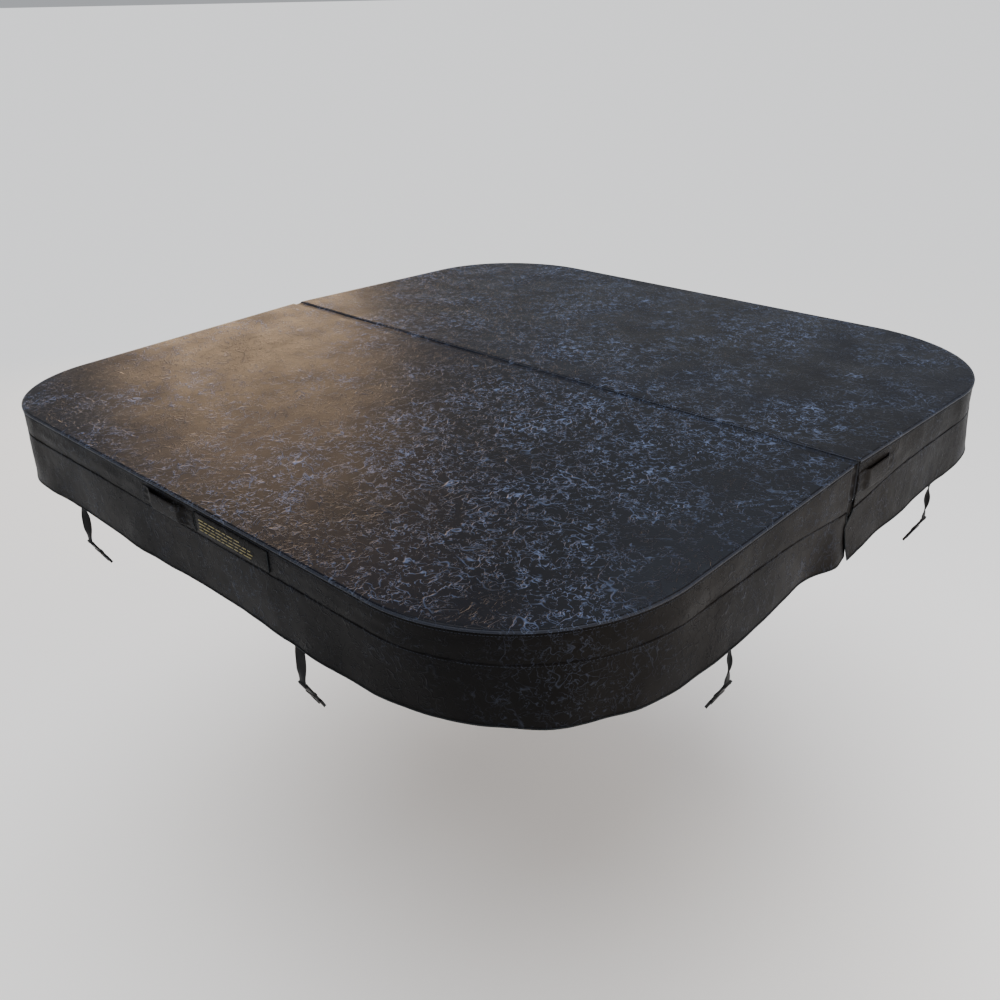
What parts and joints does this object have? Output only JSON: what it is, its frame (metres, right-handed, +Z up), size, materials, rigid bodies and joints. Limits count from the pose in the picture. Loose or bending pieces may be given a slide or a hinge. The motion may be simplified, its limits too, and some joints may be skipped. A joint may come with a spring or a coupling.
{
  "type": "spa cover",
  "caption": "Rounded-square bi-fold insulating cover with tapered foam halves, fabric hinge, skirt, carry handles and hanging tie-down straps with snap buckles.",
  "frame": {"origin": "middle of the fold line in the underside plane, which rests on the spa's rim", "axes": "+X along the fold to the right, +Y from the front half to the rear half, +Z up"},
  "size_m": [2.0754, 2.1454, 0.4056],
  "materials": {
    "black_vinyl": "semi-gloss embossed marine vinyl",
    "skirt_vinyl": "semi-gloss embossed marine vinyl",
    "lining": "woven polyethylene scrim",
    "foam": "expanded polystyrene",
    "film": "polyethylene film",
    "galvanised": "galvanised",
    "seal": "scrim over soft foam",
    "zip_tape": "woven tape with nylon coil",
    "zip_metal": "nickel plated",
    "welt": "piping",
    "brass": "rolled eyelet",
    "webbing": "polypropylene webbing",
    "buckle": "moulded acetal",
    "label": "printed vinyl patch"
  },
  "bodies": {
    "rear_half": {"rear_foam_core": "foam", "rear_steel_channel": "galvanised", "rear_vapour_wrap": "film", "rear_top_panel": "black_vinyl", "rear_side_band": "skirt_vinyl", "rear_hinge_wall": "lining", "rear_bottom_panel": "lining", "rear_drain_grommets": "brass", "rear_top_welt": "welt", "rear_skirt": "skirt_vinyl", "rear_hinge_strip": "black_vinyl", "rear_hinge_seal": "seal", "rear_zip_tape": "zip_tape", "rear_strap_tabs": "webbing", "rear_handle": "black_vinyl", "right_handle": "black_vinyl", "left_handle": "black_vinyl"},
    "front_half": {"front_foam_core": "foam", "front_steel_channel": "galvanised", "front_vapour_wrap": "film", "front_top_panel": "black_vinyl", "front_side_band": "skirt_vinyl", "front_hinge_wall": "lining", "front_bottom_panel": "lining", "front_drain_grommets": "brass", "front_top_welt": "welt", "front_skirt": "skirt_vinyl", "front_hinge_strip": "black_vinyl", "front_hinge_seal": "seal", "front_zip_tape": "zip_tape", "front_strap_tabs": "webbing", "front_handle": "black_vinyl", "care_label": "label"},
    "front_slider": {"front_zip_slider": "zip_metal"},
    "front_pull": {"front_zip_pull": "zip_metal"},
    "rear_slider": {"rear_zip_slider": "zip_metal"},
    "rear_pull": {"rear_zip_pull": "zip_metal"},
    "strap_front_1": {"strap_front_1": "webbing"},
    "buckle_front_1": {"buckle_front_1": "buckle"},
    "strap_front_2": {"strap_front_2": "webbing"},
    "buckle_front_2": {"buckle_front_2": "buckle"},
    "strap_right_1": {"strap_right_1": "webbing"},
    "buckle_right_1": {"buckle_right_1": "buckle"},
    "strap_right_2": {"strap_right_2": "webbing"},
    "buckle_right_2": {"buckle_right_2": "buckle"},
    "strap_left_1": {"strap_left_1": "webbing"},
    "buckle_left_1": {"buckle_left_1": "buckle"},
    "strap_left_2": {"strap_left_2": "webbing"},
    "buckle_left_2": {"buckle_left_2": "buckle"},
    "strap_rear_1": {"strap_rear_1": "webbing"},
    "buckle_rear_1": {"buckle_rear_1": "buckle"},
    "strap_rear_2": {"strap_rear_2": "webbing"},
    "buckle_rear_2": {"buckle_rear_2": "buckle"}
  },
  "joints": [
    {"name": "fold", "type": "hinge", "parent": "rear_half", "child": "front_half", "pos_m": [0, 0, 0.102], "axis": [-1, 0, 0], "range_deg": [0, 180]},
    {"name": "front_zip", "type": "slide", "parent": "front_half", "child": "front_slider", "axis": [1, 0, 0], "range_m": [0, 1.7]},
    {"name": "front_pull_swing", "type": "hinge", "parent": "front_slider", "child": "front_pull", "pos_m": [-0.916, -0.0072, 0.067], "axis": [0, 0, 1], "range_deg": [0, 10]},
    {"name": "rear_zip", "type": "slide", "parent": "rear_half", "child": "rear_slider", "axis": [1, 0, 0], "range_m": [0, 1.7]},
    {"name": "rear_pull_swing", "type": "hinge", "parent": "rear_slider", "child": "rear_pull", "pos_m": [-0.916, 0.0072, 0.067], "axis": [0, 0, -1], "range_deg": [0, 10]},
    {"name": "strap_front_1_swing", "type": "hinge", "parent": "front_half", "child": "strap_front_1", "pos_m": [-0.545, -1.05105, -0.126], "axis": [-1, 0, 0], "range_deg": [-75, 75]},
    {"name": "buckle_front_1_pivot", "type": "hinge", "parent": "strap_front_1", "child": "buckle_front_1", "pos_m": [-0.545, -1.05105, -0.232], "axis": [-1, 0, 0], "range_deg": [-60, 60]},
    {"name": "strap_front_2_swing", "type": "hinge", "parent": "front_half", "child": "strap_front_2", "pos_m": [0.37, -1.05105, -0.126], "axis": [-1, 0, 0], "range_deg": [-75, 75]},
    {"name": "buckle_front_2_pivot", "type": "hinge", "parent": "strap_front_2", "child": "buckle_front_2", "pos_m": [0.37, -1.05105, -0.232], "axis": [-1, 0, 0], "range_deg": [-60, 60]},
    {"name": "strap_right_1_swing", "type": "hinge", "parent": "front_half", "child": "strap_right_1", "pos_m": [1.01605, -0.477, -0.126], "axis": [0, -1, 0], "range_deg": [-75, 75]},
    {"name": "buckle_right_1_pivot", "type": "hinge", "parent": "strap_right_1", "child": "buckle_right_1", "pos_m": [1.01605, -0.477, -0.232], "axis": [0, -1, 0], "range_deg": [-60, 60]},
    {"name": "strap_right_2_swing", "type": "hinge", "parent": "rear_half", "child": "strap_right_2", "pos_m": [1.01605, 0.48, -0.126], "axis": [0, -1, 0], "range_deg": [-75, 75]},
    {"name": "buckle_right_2_pivot", "type": "hinge", "parent": "strap_right_2", "child": "buckle_right_2", "pos_m": [1.01605, 0.48, -0.232], "axis": [0, -1, 0], "range_deg": [-60, 60]},
    {"name": "strap_left_1_swing", "type": "hinge", "parent": "front_half", "child": "strap_left_1", "pos_m": [-1.01605, -0.477, -0.126], "axis": [0, 1, 0], "range_deg": [-75, 75]},
    {"name": "buckle_left_1_pivot", "type": "hinge", "parent": "strap_left_1", "child": "buckle_left_1", "pos_m": [-1.01605, -0.477, -0.232], "axis": [0, 1, 0], "range_deg": [-60, 60]},
    {"name": "strap_left_2_swing", "type": "hinge", "parent": "rear_half", "child": "strap_left_2", "pos_m": [-1.01605, 0.48, -0.126], "axis": [0, 1, 0], "range_deg": [-75, 75]},
    {"name": "buckle_left_2_pivot", "type": "hinge", "parent": "strap_left_2", "child": "buckle_left_2", "pos_m": [-1.01605, 0.48, -0.232], "axis": [0, 1, 0], "range_deg": [-60, 60]},
    {"name": "strap_rear_1_swing", "type": "hinge", "parent": "rear_half", "child": "strap_rear_1", "pos_m": [-0.545, 1.05105, -0.126], "axis": [1, 0, 0], "range_deg": [-75, 75]},
    {"name": "buckle_rear_1_pivot", "type": "hinge", "parent": "strap_rear_1", "child": "buckle_rear_1", "pos_m": [-0.545, 1.05105, -0.232], "axis": [1, 0, 0], "range_deg": [-60, 60]},
    {"name": "strap_rear_2_swing", "type": "hinge", "parent": "rear_half", "child": "strap_rear_2", "pos_m": [0.37, 1.05105, -0.126], "axis": [1, 0, 0], "range_deg": [-75, 75]},
    {"name": "buckle_rear_2_pivot", "type": "hinge", "parent": "strap_rear_2", "child": "buckle_rear_2", "pos_m": [0.37, 1.05105, -0.232], "axis": [1, 0, 0], "range_deg": [-60, 60]}
  ]
}
